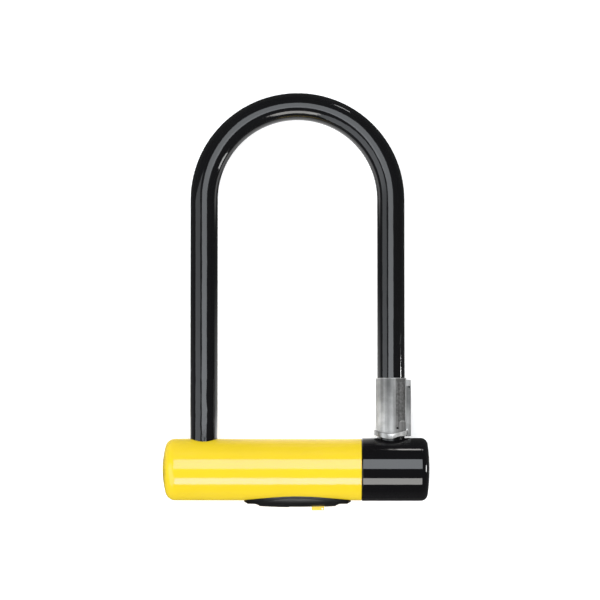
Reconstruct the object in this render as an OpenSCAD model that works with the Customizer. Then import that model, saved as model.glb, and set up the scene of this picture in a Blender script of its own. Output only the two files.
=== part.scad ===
// U-lock: a coated steel shackle whose two feet are held by deadbolts in a jacketed crossbar.
// A key turns a disc carrier, and a pinion on its tail throws both bolts at once.
// Working frame: crossbar along X with its axis at the origin, legs towards +Y, keyway towards -Y.
// The row frame moves that to the middle of the outline, on the surface that the lock lies on.

/* [Shackle] */
// Diameter of the bare steel bar
bar_d = 16; // [12:0.5:18]
// Thickness of the vinyl coat on the bar
coat_t = 0.7; // [0.5:0.1:1.2]
// Distance between the axes of the two legs
leg_spacing = 119; // [110:1:126]
// Clear height from the crossbar to the inside of the arch
inside_h = 203; // [140:1:300]
// How far a foot sits in the far wall of the lock tube
foot_seat = 1.4; // [0.5:0.1:2.5]
// Length of the chamfer on a foot
foot_chamfer = 1.5; // [0.5:0.1:2.5]

/* [Crossbar] */
// Length of the steel armour sleeve
core_len = 158.5; // [150:0.5:180]
// Outer diameter of the yellow jacket
jacket_d = 39.4; // [38:0.1:44]
// Wall of the yellow jacket
jacket_t = 1.7; // [1:0.1:2.2]
// Depth of the yellow jacket's closed end
left_end_t = 6.5; // [5:0.1:10]
// Corner radius of the yellow end
left_fillet = 6.5; // [4:0.1:8]
// Radius of the yellow end's crown
left_crown = 60; // [45:1:120]
// How far the black cap stands proud of the yellow jacket
cap_proud = 0.3; // [0:0.1:1]
// Length of the black cap
cap_len = 43.2; // [38:0.1:50]
// Depth of the black cap's closed end
right_end_t = 4.6; // [3.5:0.1:8]
// Corner radius of the black end
right_fillet = 4.5; // [2:0.1:6]
// Radius of the black end's crown
right_crown = 120; // [60:1:200]
// Radius of the black cap's open rim
rim_round = 1; // [0.4:0.1:1.5]
// Wall of the armour sleeve
armour_t = 3; // [2:0.1:3.5]
// Wall of the lock tube
tube_t = 3.3; // [2.5:0.1:3.6]
// Length of an end plug
plug_len = 6; // [4:0.5:8]
// Diameter of the cross pins and dowels
pin_d = 3; // [2:0.5:4]

/* [Lock cylinder] */
// Outer diameter of the cylinder housing
cylinder_d = 17; // [16:0.1:18]
// Diameter of the disc carrier
carrier_d = 12.4; // [12:0.1:13]
// Wall of the disc carrier
carrier_t = 1.2; // [1:0.1:1.5]
// Number of locking discs
disc_count = 6; // [4:1:7]
// Thickness of a locking disc
disc_t = 1.1; // [0.9:0.1:1.3]
// Thickness of a spacer between discs
spacer_t = 0.5; // [0.4:0.1:0.6]
// Thickness of the hard ring in front of the carrier
guard_t = 1.5; // [1:0.1:2]
// Thickness of the carrier's front flange
face_t = 1.2; // [1:0.1:1.5]
// Diameter of the carrier's front face, where the key enters
face_d = 9; // [8.4:0.1:9.6]
// Width of the key slot
key_w = 7.4; // [6:0.1:7.8]
// Thickness of the key slot
key_t = 2.8; // [2:0.1:3.2]
// Diameter of the sidebar
sidebar_d = 1.6; // [1.2:0.1:1.8]

/* [Bolts] */
// Teeth on the pinion
pinion_teeth = 10; // [10:2:12]
// Tooth module of the pinion and racks
tooth_module = 1; // [0.9:0.01:1.05]
// Pressure angle of the teeth
tooth_angle = 25; // [22:1:28]
// Height of the pinion and racks
rack_h = 5; // [4:0.1:6]
// Height of a bolt
bolt_h = 8; // [6:0.1:9]
// Width of a bolt's nose
bolt_w = 10; // [8:0.1:11]
// Turn of the key that throws the bolts
key_turn = 90; // [60:1:90]
// Height of the floor that the bolts slide on, above the crossbar axis
bolt_floor = 1; // [0.5:0.1:2]
// Gap between a withdrawn bolt and its foot
bolt_retreat = 1.2; // [0.6:0.1:2]

/* [Keyway cover] */
// Length of the cover
cover_len = 67.8; // [60:0.1:76]
// Width of the cover
cover_w = 19.4; // [18.6:0.1:19.6]
// Width between the cover's long sides where they reach its tips
tip_w = 7; // [6:0.1:7.2]
// Radius of the cover's round tips
tip_r = 5.6; // [5.5:0.1:7]
// How far the middle of the cover stands proud of the jacket
cover_h = 4.4; // [4.2:0.1:6]
// Radius of the cover's crown, across its width
cover_crown = 11; // [10.6:0.1:14]
// Radius of the cover's bow, along its length
cover_bow = 400; // [300:10:900]
// Height of the tips' ends above the jacket
tip_h = 0.8; // [0.6:0.1:1.4]
// Length of the slope from a tip's end up to its ledge
tip_len = 2.4; // [1.5:0.1:3]
// Height of the two ledges above the jacket
ledge_h = 2.2; // [1.8:0.1:2.6]
// Length of a ledge with its tip
ledge_len = 5.8; // [4:0.1:6.4]
// Radius of the hollow rise behind a ledge
hollow_r = 6.8; // [5:0.1:9]
// Skin over the middle of the shutter
skin_t = 1.8; // [1.6:0.1:2]
// Thickness of the shutter plate
shutter_t = 1.2; // [0.9:0.1:1.4]
// Width of the shutter plate
shutter_w = 7.6; // [6.8:0.1:8]
// Travel of the shutter
shutter_travel = 13; // [11:0.1:14]
// How far the closed shutter covers the end of its slot
shutter_lap = 2; // [1.5:0.1:2.4]
// Length of the thumb tab
tab_len = 7.9; // [6:0.1:9]
// Width of the thumb tab
tab_w = 4.6; // [3.5:0.1:5]
// How far the thumb tab stands proud of the cover's middle
tab_h = 1.9; // [1.8:0.1:3]
// Diameter of the small eye through the tab's right end
eye_d = 1.1; // [0.8:0.1:1.3]
// Distance of that eye's middle from the tab's end
eye_in = 1.15; // [1:0.05:2]
// Diameter of the pegs that hold the cover
peg_d = 3.6; // [2:0.1:4]
// Distance between those pegs
peg_spacing = 50; // [46:0.5:54]

/* [Bracket collar] */
// Sheet thickness of the collar
collar_t = 0.95; // [0.7:0.05:1.5]
// Top of the collar above the crossbar axis
collar_top = 58; // [45:0.5:80]
// Gap from the black cap to the collar's saddle-shaped foot
lip_gap = 2.1; // [1:0.1:3]
// Height of the lip round that foot
lip_h = 2.8; // [2:0.1:4]
// How far the lip stands out of the collar
lip_out = 1.2; // [0.5:0.05:1.6]
// Gap from the black cap to the foot's trimmed right half
trim_gap = 1; // [0.5:0.1:2]
// Reach of the side rail from the leg axis
rail_reach = 12.6; // [11.6:0.1:15]
// Thickness of the side rail
rail_t = 3.6; // [2:0.1:5]
// Height of the tooth on top of the rail
tooth_h = 4; // [3:0.1:6]
// Depth of the notch below the tooth
notch_in = 1.6; // [0.8:0.1:1.8]
// Height of the notch below the tooth
notch_h = 1.1; // [0.5:0.1:1.5]
// Distance from the collar's top down to the tooth
rail_drop = 1; // [0.5:0.1:3]
// Depth of the recess in the collar's front
recess_in = 0.4; // [0.2:0.05:0.5]
// Plain band left above the lip and below the collar's top
recess_edge = 0.5; // [0.3:0.1:2]
// Width of the tongue left standing in the recess
tongue_w = 4.2; // [3:0.1:5]
// Height of that tongue
tongue_h = 6.2; // [5:0.1:10]
// Place of that tongue to the right of the leg axis
tongue_x = 7.1; // [6.5:0.1:7.5]
// Diameter of the small hole beside the tongue
collar_hole_d = 1.3; // [0.8:0.1:2]
// Place of that hole to the right of the leg axis
collar_hole_x = 3.9; // [3:0.1:4.2]

/* [Hidden] */
$fn = 96;

// Clearances: seated pieces, turning pieces, sliding pieces, and the feet in their holes
seat_gap = 0.02;
run_gap = 0.05;
slide_gap = 0.3;
foot_gap = 0.3;
// Overshoot that carries a cut clear of a face
cut = 1;

// Shackle
bar_r = bar_d / 2;
coat_r = bar_r + coat_t;
leg_x = leg_spacing / 2;
jacket_r = jacket_d / 2;
arch_y = jacket_r + inside_h + coat_r - leg_x;
crown_y = arch_y + leg_x + coat_r;
leg_hole_r = coat_r + foot_gap;
foot_hole_r = bar_r + foot_gap;

// Crossbar, from the outside in
cap_r = jacket_r + cap_proud;
armour_r = jacket_r - jacket_t - seat_gap;
tube_r = armour_r - armour_t - seat_gap;
tube_bore_r = tube_r - tube_t;
jacket_bore_r = armour_r + seat_gap;
core_x = core_len / 2;
left_end = core_x + left_end_t;
right_end = core_x + right_end_t;
split_x = right_end - cap_len;
pin_r = pin_d / 2;
// A pin's flat end stays just under the tube's round outside
pin_reach = sqrt(tube_r * tube_r - pin_r * pin_r) - seat_gap;
foot_y = -(tube_bore_r + foot_seat);
// The coat ends inside the armour, deep enough to hide the bare bar
coat_y = armour_r - armour_t / 2;

// Lock cylinder, from the front to the back along +Y
cylinder_r = cylinder_d / 2;
carrier_r = carrier_d / 2;
disc_r = carrier_r - carrier_t - run_gap;
stack_gap = 0.02;
stack_n = 2 * disc_count + 1;
stack_len = disc_count * disc_t + (disc_count + 1) * spacer_t + (stack_n + 1) * stack_gap;
front_y = -(sqrt(armour_r * armour_r - cylinder_r * cylinder_r) - seat_gap);
guard_y = front_y + guard_t;
guard_r = (carrier_r + cylinder_r) / 2;
carrier_y = guard_y + run_gap + face_t;
cavity_y = carrier_y + stack_len;
carrier_back_y = cavity_y + carrier_t;
tail_r = 2.8;
tail_flat = 3.9;
sidebar_r = sidebar_d / 2;
sidebar_at = disc_r + sidebar_r / 2;
gate_in = sidebar_r + 0.2;

// Pinion and racks
pitch_r = pinion_teeth * tooth_module / 2;
base_r = pitch_r * cos(tooth_angle);
tooth_top = 0.85 * tooth_module;
tooth_root = 1.15 * tooth_module;
tooth_play = 0.12;
tooth_w = PI * tooth_module / 2 - tooth_play;
pitch = PI * tooth_module;
rack_y0 = bolt_floor + slide_gap;
rack_y1 = bolt_floor + rack_h;
throw = pitch_r * key_turn * PI / 180;
rack_n = ceil(throw / pitch) + 2;
rack_end_x = (rack_n - 1) * pitch;
rack_back = 3;
bolt_start_x = rack_end_x + 2 * slide_gap;
bolt_tip_x = leg_x - bar_r - bolt_retreat;
bolt_top = bolt_floor + slide_gap + bolt_h;
nose_len = 14;
nose_chamfer = 1;
foot_notch_in = throw - bolt_retreat + 2 * slide_gap;
screw_head_r = 3;
screw_head_h = 1.4;
screw_r = 1.2;
screw_depth = 4;

// Guides below the bolts
guide_x0 = cylinder_r + pin_d;
guide_x1 = bolt_tip_x;
guide_pin_x = (guide_x0 + guide_x1) / 2;
guide_pin_y = -tube_bore_r / 2;

// Keyway cover, measured outwards from the crossbar axis
top_z = jacket_r + cover_h;
side_r = (pow(cover_len / 2, 2) + pow((cover_w - tip_w) / 2, 2)) / (cover_w - tip_w);
rim_z = sqrt(jacket_r * jacket_r - cover_w * cover_w / 4);
shutter_z1 = top_z - skin_t - slide_gap;
shutter_z0 = shutter_z1 - shutter_t;
floor_z = shutter_z0 - slide_gap;
key_clear = 0.5;
key_hole_len = key_w + 2 * key_clear;
// At rest the tab is one travel to the right of the keyway, and the plate clears the key hole
tab_x = shutter_travel;
slot_x0 = -key_hole_len / 2 - 2 * key_clear;
slot_x1 = tab_x + tab_len / 2 + slide_gap;
plate_x0 = tab_x + slot_x0 - shutter_lap;
plate_x1 = slot_x1 + slide_gap;
pocket_x0 = plate_x0 - shutter_travel - slide_gap;
pocket_x1 = plate_x1 + slide_gap;
pocket_w = shutter_w + 2 * slide_gap;
slot_w = tab_w + 2 * slide_gap;
jacket_key_r = key_hole_len / 2 + 2.6 * key_clear;
peg_r = peg_d / 2;

// Bracket collar on the right leg
collar_bore = coat_r + seat_gap;
collar_r = coat_r + seat_gap + collar_t;
lip_r = collar_r + lip_out;
saddle_r = cap_r + lip_gap;
lip_top = saddle_r + lip_h;
trim_y = cap_r + trim_gap;
rail_y1 = collar_top - rail_drop;

// Row frame: middle of the outline in X and Y, lowest point in Z
mid_x = (right_end - left_end) / 2;
mid_y = (crown_y - top_z - tab_h) / 2;

module row_frame() {
    translate([-mid_x, -mid_y, cap_r]) children();
}

module rod_x(r, x0, x1) {
    translate([x0, 0, 0]) rotate([0, 90, 0]) cylinder(r = r, h = x1 - x0);
}

module rod_y(r, y0, y1) {
    translate([0, y0, 0]) rotate([-90, 0, 0]) cylinder(r = r, h = y1 - y0);
}

module rod_z(r, z0, z1) {
    translate([0, 0, z0]) cylinder(r = r, h = z1 - z0);
}

// Revolves a profile of [radius, place along the axis] about X
module turned_x() {
    rotate([0, 90, 0]) rotate_extrude() children();
}

// Lays out children whose Z points out of the keyway side
module keyway_side() {
    rotate([90, 0, 0]) children();
}

module both_ends() {
    children();
    mirror([1, 0, 0]) children();
}

// The U: two straight legs and a half-round arch, for a round or ring profile
module u_path(y0) {
    both_ends() translate([leg_x, y0, 0]) rotate([-90, 0, 0]) linear_extrude(arch_y - y0) children();
    translate([0, arch_y, 0]) rotate_extrude(angle = 180) translate([leg_x, 0]) children();
}

module shackle_bar() {
    color("silver") row_frame() difference() {
        union() {
            u_path(foot_y + foot_chamfer) circle(bar_r);
            both_ends() translate([leg_x, foot_y, 0]) rotate([-90, 0, 0])
                cylinder(r1 = bar_r - foot_chamfer, r2 = bar_r, h = foot_chamfer);
        }
        both_ends() translate([leg_x - bar_r - cut, bolt_floor, -bar_r - cut])
            cube([foot_notch_in + cut, bolt_h + 2 * slide_gap, bar_d + 2 * cut]);
    }
}

module shackle_coat() {
    color([0.05, 0.05, 0.06]) row_frame() u_path(coat_y) difference() {
        circle(coat_r);
        circle(bar_r + seat_gap);
    }
}

// A round bar along the crossbar, across the collar's foot
module saddle(r) {
    rod_x(r, -2 * lip_r, 2 * lip_r);
}

// Sleeve and lip, with a saddle-shaped foot whose right half is trimmed shorter
module collar_sleeve() {
    low_y = sqrt(saddle_r * saddle_r - lip_r * lip_r);
    difference() {
        union() {
            rod_y(collar_r, 0, collar_top);
            intersection() {
                rod_y(lip_r, 0, collar_top);
                saddle(lip_top);
            }
        }
        rod_y(collar_bore, -cut, collar_top + cut);
        saddle(saddle_r);
        linear_extrude(lip_r + cut) polygon([
            [0, 0], [0, low_y], [lip_r / 2, trim_y], [lip_r + cut, trim_y], [lip_r + cut, 0]
        ]);
    }
}

// An upright rail, with a notch for the bracket's catch in its upper half
module rail() {
    rail_x = collar_r - collar_t / 2;
    notch_y = rail_y1 - tooth_h - notch_h;
    difference() {
        translate([rail_x, trim_y, -rail_t / 2]) cube([rail_reach - rail_x, rail_y1 - trim_y, rail_t]);
        translate([rail_reach - notch_in, notch_y, 0]) cube([notch_in + cut, notch_h, rail_t]);
    }
}

// A darker recess on the front right of the collar, with a rounded tongue left standing in it
module collar_recess() {
    difference() {
        rotate([-90, 0, 0]) rotate([0, 0, -72]) translate([0, 0, lip_top + recess_edge])
            rotate_extrude(angle = 58) translate([collar_r - recess_in, 0])
                square([recess_in + cut, collar_top - lip_top - 2 * recess_edge]);
        translate([tongue_x - tongue_w / 2, lip_top, 0]) linear_extrude(lip_r) {
            square([tongue_w, tongue_h - tongue_w / 2]);
            translate([tongue_w / 2, tongue_h - tongue_w / 2]) circle(tongue_w / 2);
        }
    }
    translate([collar_hole_x, lip_top + collar_hole_d, 0]) rod_z(collar_hole_d / 2, 0, collar_r);
}

module bracket_collar() {
    color("gainsboro") row_frame() translate([leg_x, 0, 0]) difference() {
        union() {
            collar_sleeve();
            rail();
        }
        collar_recess();
    }
}

// Half outline of a crowned end with rounded corners, from its open rim at 0 to its tip at len
module end_outline(r, len, fillet, crown, rim) {
    crown_at = len - crown;
    corner_at = crown_at + sqrt(pow(crown - fillet, 2) - pow(r - fillet, 2));
    turn = atan2(corner_at - crown_at, r - fillet);
    square([r - rim, corner_at]);
    translate([0, rim]) square([r, corner_at - rim]);
    translate([r - rim, rim]) circle(rim);
    intersection() {
        translate([r - fillet, corner_at]) circle(fillet);
        translate([r - fillet, corner_at - fillet]) square(2 * fillet);
    }
    intersection() {
        translate([0, crown_at]) circle(crown, $fn = 360);
        polygon([
            [0, corner_at], [r - fillet, corner_at],
            [2 * crown * cos(turn), crown_at + 2 * crown * sin(turn)], [0, len + crown]
        ]);
    }
}

module jacket_shell(r, len, end_t, fillet, crown, rim) {
    turned_x() difference() {
        end_outline(r, len, fillet, crown, rim);
        translate([0, -cut]) square([jacket_bore_r, len - end_t + seat_gap + cut]);
    }
}

module leg_hole(r) {
    translate([leg_x, 0, 0]) rod_y(r, 0, cap_r + cut);
}

module yellow_jacket() {
    color("gold") row_frame() difference() {
        mirror([1, 0, 0]) translate([-split_x + seat_gap, 0, 0]) jacket_shell(
            jacket_r, left_end + split_x - seat_gap, left_end_t, left_fillet, left_crown, rim_round / 3
        );
        mirror([1, 0, 0]) leg_hole(leg_hole_r);
        rod_y(jacket_key_r, -jacket_r - cut, 0);
        both_ends() translate([peg_spacing / 2, 0, 0]) rod_y(peg_r + seat_gap, -jacket_r - cut, 0);
    }
}

module black_end_cap() {
    color([0.07, 0.07, 0.08]) row_frame() difference() {
        translate([split_x, 0, 0])
            jacket_shell(cap_r, cap_len, right_end_t, right_fillet, right_crown, rim_round);
        leg_hole(leg_hole_r);
    }
}

module armour_sleeve() {
    color("dimgray") row_frame() difference() {
        rod_x(armour_r, -core_x, core_x);
        rod_x(armour_r - armour_t, -core_x - cut, core_x + cut);
        both_ends() leg_hole(leg_hole_r);
        rod_y(cylinder_r + seat_gap, -armour_r - cut, 0);
        both_ends() translate([peg_spacing / 2, 0, 0]) rod_y(peg_r + seat_gap, -armour_r - cut, 0);
    }
}

module lock_tube() {
    color("slategray") row_frame() difference() {
        rod_x(tube_r, -core_x, core_x);
        rod_x(tube_bore_r, -core_x - cut, core_x + cut);
        both_ends() translate([leg_x, 0, 0]) rod_y(foot_hole_r, -tube_r - cut, tube_r + cut);
        rod_y(cylinder_r + seat_gap, -tube_r - cut, 0);
        both_ends() end_pin(seat_gap, tube_r + cut);
        both_ends() guide_pin(seat_gap, tube_r + cut);
        retaining_pin(seat_gap);
    }
}

module end_pin(gap, reach) {
    translate([core_x - plug_len / 2, 0, 0]) rod_z(pin_r + gap, -reach, reach);
}

module guide_pin(gap, reach) {
    translate([guide_pin_x, 0, 0]) rod_y(pin_r + gap, -reach, guide_pin_y + gap);
}

// Runs across the tube, half sunk in the housing's side
module retaining_pin(gap) {
    pin_y = front_y / 2;
    pin_z = sqrt(tube_r * tube_r - pin_y * pin_y) - pin_r;
    translate([cylinder_r, pin_y, 0]) rod_z(pin_r + gap, -pin_z - gap, pin_z + gap);
}

module end_plugs() {
    color("gray") row_frame() both_ends() difference() {
        rod_x(tube_bore_r - seat_gap, core_x - plug_len, core_x);
        end_pin(seat_gap, tube_r);
    }
}

module end_pins() {
    color("darkgray") row_frame() both_ends() end_pin(0, pin_reach);
}

// Cuts a shape to the heights between two places above the crossbar axis
module between_y(y0, y1) {
    intersection() {
        children();
        translate([-core_x, y0, -jacket_r]) cube([core_len, y1 - y0, jacket_d]);
    }
}

module bolt_guides() {
    color("burlywood") row_frame() both_ends() difference() {
        between_y(-tube_bore_r, bolt_floor) rod_x(tube_bore_r - seat_gap, guide_x0, guide_x1);
        guide_pin(seat_gap, tube_r);
    }
}

module guide_pins() {
    color("darkgray") row_frame() both_ends() guide_pin(0, pin_reach);
}

module cylinder_body() {
    color("goldenrod") row_frame() difference() {
        rod_y(cylinder_r, front_y, bolt_floor);
        rod_y(guard_r + seat_gap, front_y - cut, guard_y);
        rod_y(carrier_r + run_gap, front_y, carrier_back_y + run_gap);
        rod_y(tail_r + run_gap, carrier_back_y, bolt_floor + cut);
        translate([carrier_r - cut, carrier_y, -sidebar_r - run_gap])
            cube([cut + sidebar_r, stack_len, sidebar_d + 2 * run_gap]);
        retaining_pin(seat_gap);
    }
}

module cylinder_pin() {
    color("darkgray") row_frame() retaining_pin(0);
}

module front_guard() {
    color("dimgray") row_frame() difference() {
        rod_y(guard_r, front_y, guard_y - seat_gap);
        rod_y(face_d / 2 + run_gap, front_y - cut, guard_y + cut);
    }
}

module key_slot(y0, y1) {
    translate([-key_w / 2, y0, -key_t / 2]) cube([key_w, y1 - y0, key_t]);
}

module sidebar_slot(depth_r) {
    translate([depth_r, carrier_y - cut, -sidebar_r - run_gap])
        cube([carrier_r, stack_len + cut, sidebar_d + 2 * run_gap]);
}

module disc_carrier() {
    color("khaki") row_frame() difference() {
        union() {
            rod_y(carrier_r, carrier_y + seat_gap, carrier_back_y);
            rod_y(tail_r, carrier_back_y - seat_gap, bolt_floor + run_gap);
            translate([-tail_flat / 2, 0, -tail_flat / 2]) cube([tail_flat, rack_y1, tail_flat]);
        }
        rod_y(carrier_r - carrier_t, carrier_y - cut, cavity_y);
        sidebar_slot(disc_r);
        rod_y(screw_r + seat_gap, rack_y1 - screw_depth - seat_gap, rack_y1 + cut);
    }
}

module plug_face() {
    color("lightsteelblue") row_frame() difference() {
        union() {
            rod_y(face_d / 2, front_y + run_gap, guard_y + face_t);
            rod_y(carrier_r, guard_y + run_gap, carrier_y);
        }
        key_slot(front_y - cut, carrier_y + cut);
    }
}

// One washer of the stack, counted from the front, with its gate for the sidebar
module stack_piece(k, hole_w, hole_t) {
    discs_before = floor(k / 2);
    spacers_before = ceil(k / 2);
    y0 = carrier_y + discs_before * disc_t + spacers_before * spacer_t + (k + 1) * stack_gap;
    t = k % 2 == 0 ? spacer_t : disc_t;
    difference() {
        rod_y(disc_r, y0, y0 + t);
        translate([-hole_w / 2, y0 - cut, -hole_t / 2]) cube([hole_w, t + 2 * cut, hole_t]);
        translate([disc_r - gate_in, y0 - cut, -sidebar_r - run_gap])
            cube([disc_r, t + 2 * cut, sidebar_d + 2 * run_gap]);
    }
}

module locking_discs() {
    color("orange") row_frame() for (k = [1 : 2 : stack_n - 1]) stack_piece(k, key_w - 1, key_t);
}

module disc_spacers() {
    color("wheat") row_frame() for (k = [0 : 2 : stack_n - 1]) stack_piece(k, key_w, key_w / 2);
}

module sidebar() {
    color("white") row_frame() translate([sidebar_at, 0, 0])
        rod_y(sidebar_r, carrier_y + 2 * stack_gap, cavity_y - 2 * stack_gap);
}

function involute(r) = let (a = acos(min(1, base_r / r))) tan(a) - a * PI / 180;

// Half the angle that a pinion tooth spans at radius r, in degrees
function half_tooth(r) =
    (tooth_w / 2 / pitch_r + involute(pitch_r) - involute(max(r, base_r))) * 180 / PI;

module pinion_outline() {
    steps = 6;
    root = pitch_r - tooth_root;
    tip = pitch_r + tooth_top;
    radii = [root, for (i = [0 : steps]) base_r + (tip - base_r) * i / steps];
    last = len(radii) - 1;
    flank = [for (r = radii) [r, half_tooth(r)]];
    polygon([
        for (t = [0 : pinion_teeth - 1]) let (mid = 90 + 360 * t / pinion_teeth)
            for (k = [0 : 2 * last + 1])
                let (
                    p = k <= last ? flank[k] : flank[2 * last + 1 - k],
                    a = k <= last ? mid - p[1] : mid + p[1]
                ) [p[0] * cos(a), p[0] * sin(a)]
    ]);
}

module pinion() {
    color("silver") row_frame() difference() {
        translate([0, rack_y0, 0]) rotate([-90, 0, 0]) linear_extrude(rack_y1 - rack_y0) pinion_outline();
        translate([-tail_flat / 2 - seat_gap, 0, -tail_flat / 2 - seat_gap])
            cube([tail_flat + 2 * seat_gap, rack_y1 + cut, tail_flat + 2 * seat_gap]);
    }
}

module pinion_screw() {
    color("dimgray") row_frame() {
        rod_y(screw_r, rack_y1 - screw_depth, rack_y1 + seat_gap);
        rod_y(screw_head_r, rack_y1 + seat_gap, rack_y1 + seat_gap + screw_head_h);
    }
}

// Teeth at half pitches, so that a gap faces the pinion's tooth at rest
module rack_outline() {
    spread = tan(tooth_angle);
    top = tooth_w / 2 - tooth_top * spread;
    foot = tooth_w / 2 + tooth_root * spread;
    for (k = [0 : rack_n - 1]) translate([(1.5 - rack_n + k) * pitch, 0])
        polygon([
            [-foot, pitch_r + tooth_root], [-top, pitch_r - tooth_top],
            [top, pitch_r - tooth_top], [foot, pitch_r + tooth_root]
        ]);
    translate([-rack_end_x, pitch_r + tooth_root - seat_gap])
        square([rack_end_x + bolt_start_x + cut, rack_back]);
}

module bolt() {
    translate([0, rack_y1, 0]) rotate([90, 0, 0]) linear_extrude(rack_y1 - rack_y0) rack_outline();
    between_y(rack_y0, bolt_top) rod_x(tube_bore_r - slide_gap, bolt_start_x, bolt_tip_x - nose_len);
    translate([bolt_tip_x - nose_len - cut, rack_y0, -bolt_w / 2]) linear_extrude(bolt_w) polygon([
        [0, 0], [nose_len + cut - nose_chamfer, 0], [nose_len + cut, nose_chamfer],
        [nose_len + cut, bolt_h - nose_chamfer], [nose_len + cut - nose_chamfer, bolt_h], [0, bolt_h]
    ]);
}

module right_bolt() {
    color("lightgray") row_frame() bolt();
}

module left_bolt() {
    color("lightgray") row_frame() rotate([0, 180, 0]) bolt();
}

// The cover seen from above: a slope at each tip, a level ledge and a hollow rise to the middle
module cover_outline() {
    end_x = cover_len / 2;
    tip_z = jacket_r + tip_h;
    ledge_z = jacket_r + ledge_h;
    hollow_x = end_x - ledge_len;
    difference() {
        polygon([
            [-end_x, 0], [-end_x, tip_z], [tip_len - end_x, ledge_z], [-hollow_x, ledge_z],
            [-hollow_x, top_z + cut], [hollow_x, top_z + cut],
            [hollow_x, ledge_z], [end_x - tip_len, ledge_z], [end_x, tip_z], [end_x, 0]
        ]);
        both_ends() translate([hollow_x, ledge_z + hollow_r]) circle(hollow_r);
    }
}

// The cover seen from the keyway side: two long bowed sides and round tips
module cover_plan() {
    side_y = side_r - cover_w / 2;
    intersection() {
        translate([0, side_y]) circle(side_r, $fn = 240);
        translate([0, -side_y]) circle(side_r, $fn = 240);
        union() {
            square([cover_len - 2 * tip_r, 2 * cover_w], center = true);
            both_ends() translate([cover_len / 2 - tip_r, 0]) circle(tip_r);
        }
    }
}

// That plan, trimmed to the outline and crowned both along and across
module cover_body() {
    intersection() {
        linear_extrude(top_z + cut) cover_plan();
        translate([0, cover_w, 0]) rotate([90, 0, 0]) linear_extrude(2 * cover_w) cover_outline();
        translate([0, 0, top_z - cover_bow]) rotate([90, 0, 0]) rotate_extrude($fn = 720)
            translate([cover_bow - cover_crown, 0]) circle(cover_crown);
    }
}

module box_between(x0, x1, w, z0, z1) {
    translate([x0, -w / 2, z0]) cube([x1 - x0, w, z1 - z0]);
}

module peg() {
    translate([peg_spacing / 2, 0, 0]) rod_z(peg_r, armour_r - armour_t + seat_gap, jacket_r + tip_h);
}

module keyway_cover() {
    color([0.13, 0.13, 0.13]) row_frame() keyway_side() union() {
        difference() {
            cover_body();
            rod_x(jacket_r + seat_gap, -cover_len, cover_len);
            box_between(pocket_x0, pocket_x1, pocket_w, 0, top_z - skin_t);
            box_between(slot_x0, slot_x1, slot_w, 0, top_z + cut);
        }
        both_ends() peg();
    }
}

module backing_plate() {
    color("darkslategray") row_frame() keyway_side() difference() {
        box_between(pocket_x0 + seat_gap, pocket_x1 - seat_gap, pocket_w - 2 * seat_gap, rim_z, floor_z);
        rod_x(jacket_r + seat_gap, -cover_len, cover_len);
        box_between(-key_hole_len / 2, key_hole_len / 2, slot_w, 0, top_z);
    }
}

// The plate that closes the keyway, and its thumb tab with a small eye at its right end
module shutter() {
    tab_end = tab_x + tab_len / 2;
    color("gold") row_frame() keyway_side() {
        box_between(plate_x0, plate_x1, shutter_w, shutter_z0, shutter_z1);
        difference() {
            box_between(tab_end - tab_len, tab_end, tab_w, shutter_z1 - seat_gap, top_z + tab_h);
            translate([tab_end - eye_in, 0, top_z + tab_h / 2]) rod_y(eye_d / 2, -tab_w, tab_w);
        }
    }
}

shackle_bar();
shackle_coat();
bracket_collar();
yellow_jacket();
black_end_cap();
armour_sleeve();
lock_tube();
end_plugs();
end_pins();
bolt_guides();
guide_pins();
cylinder_body();
cylinder_pin();
front_guard();
disc_carrier();
plug_face();
locking_discs();
disc_spacers();
sidebar();
pinion();
pinion_screw();
left_bolt();
right_bolt();
keyway_cover();
backing_plate();
shutter();
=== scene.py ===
import math
from collections import namedtuple

import bmesh
import bpy
from bpy.props import FloatProperty, FloatVectorProperty, PointerProperty
from bpy.types import NodeSocket, Operator, Panel, PropertyGroup
from mathutils import Matrix, Vector


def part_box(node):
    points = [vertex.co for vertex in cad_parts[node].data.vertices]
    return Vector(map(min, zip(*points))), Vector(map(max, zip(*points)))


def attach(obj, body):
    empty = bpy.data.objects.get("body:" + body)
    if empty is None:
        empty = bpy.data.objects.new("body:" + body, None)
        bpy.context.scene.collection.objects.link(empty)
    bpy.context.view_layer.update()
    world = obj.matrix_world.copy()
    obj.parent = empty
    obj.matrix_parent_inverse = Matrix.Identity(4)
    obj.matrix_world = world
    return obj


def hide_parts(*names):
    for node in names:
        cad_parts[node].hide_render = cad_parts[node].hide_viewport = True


bl_info = {
    "name": "U-lock dresser",
    "version": (1, 0, 0),
    "blender": (4, 5, 0),
    "location": "3D View > Sidebar > U-lock",
    "description": "Dresses the lock's solids in vinyl, plastic and metal, and sets them in a small studio",
    "category": "Object",
}

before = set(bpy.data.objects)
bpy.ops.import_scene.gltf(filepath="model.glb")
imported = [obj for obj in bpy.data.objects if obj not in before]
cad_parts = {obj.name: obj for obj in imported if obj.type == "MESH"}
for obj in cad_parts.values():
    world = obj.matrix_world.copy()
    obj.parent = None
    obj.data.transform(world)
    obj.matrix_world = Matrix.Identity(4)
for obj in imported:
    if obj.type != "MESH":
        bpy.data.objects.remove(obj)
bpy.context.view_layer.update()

# Places on the lock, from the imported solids
MM = 0.001
COAT_LOW, COAT_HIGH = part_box("shackle_coat")
CAP_LOW, CAP_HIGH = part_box("black_end_cap")
JACKET_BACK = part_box("yellow_jacket")[1].y
COLLAR_LOW, COLLAR_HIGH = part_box("bracket_collar")
BAR_AXIS = (CAP_LOW + CAP_HIGH) / 2
COAT_R = (COAT_HIGH.z - COAT_LOW.z) / 2
CAP_R = (CAP_HIGH.z - CAP_LOW.z) / 2
ARCH_Y = COAT_HIGH.y - COAT_R
RIGHT_LEG = Vector((COAT_HIGH.x - COAT_R, 0, BAR_AXIS.z))
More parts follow.
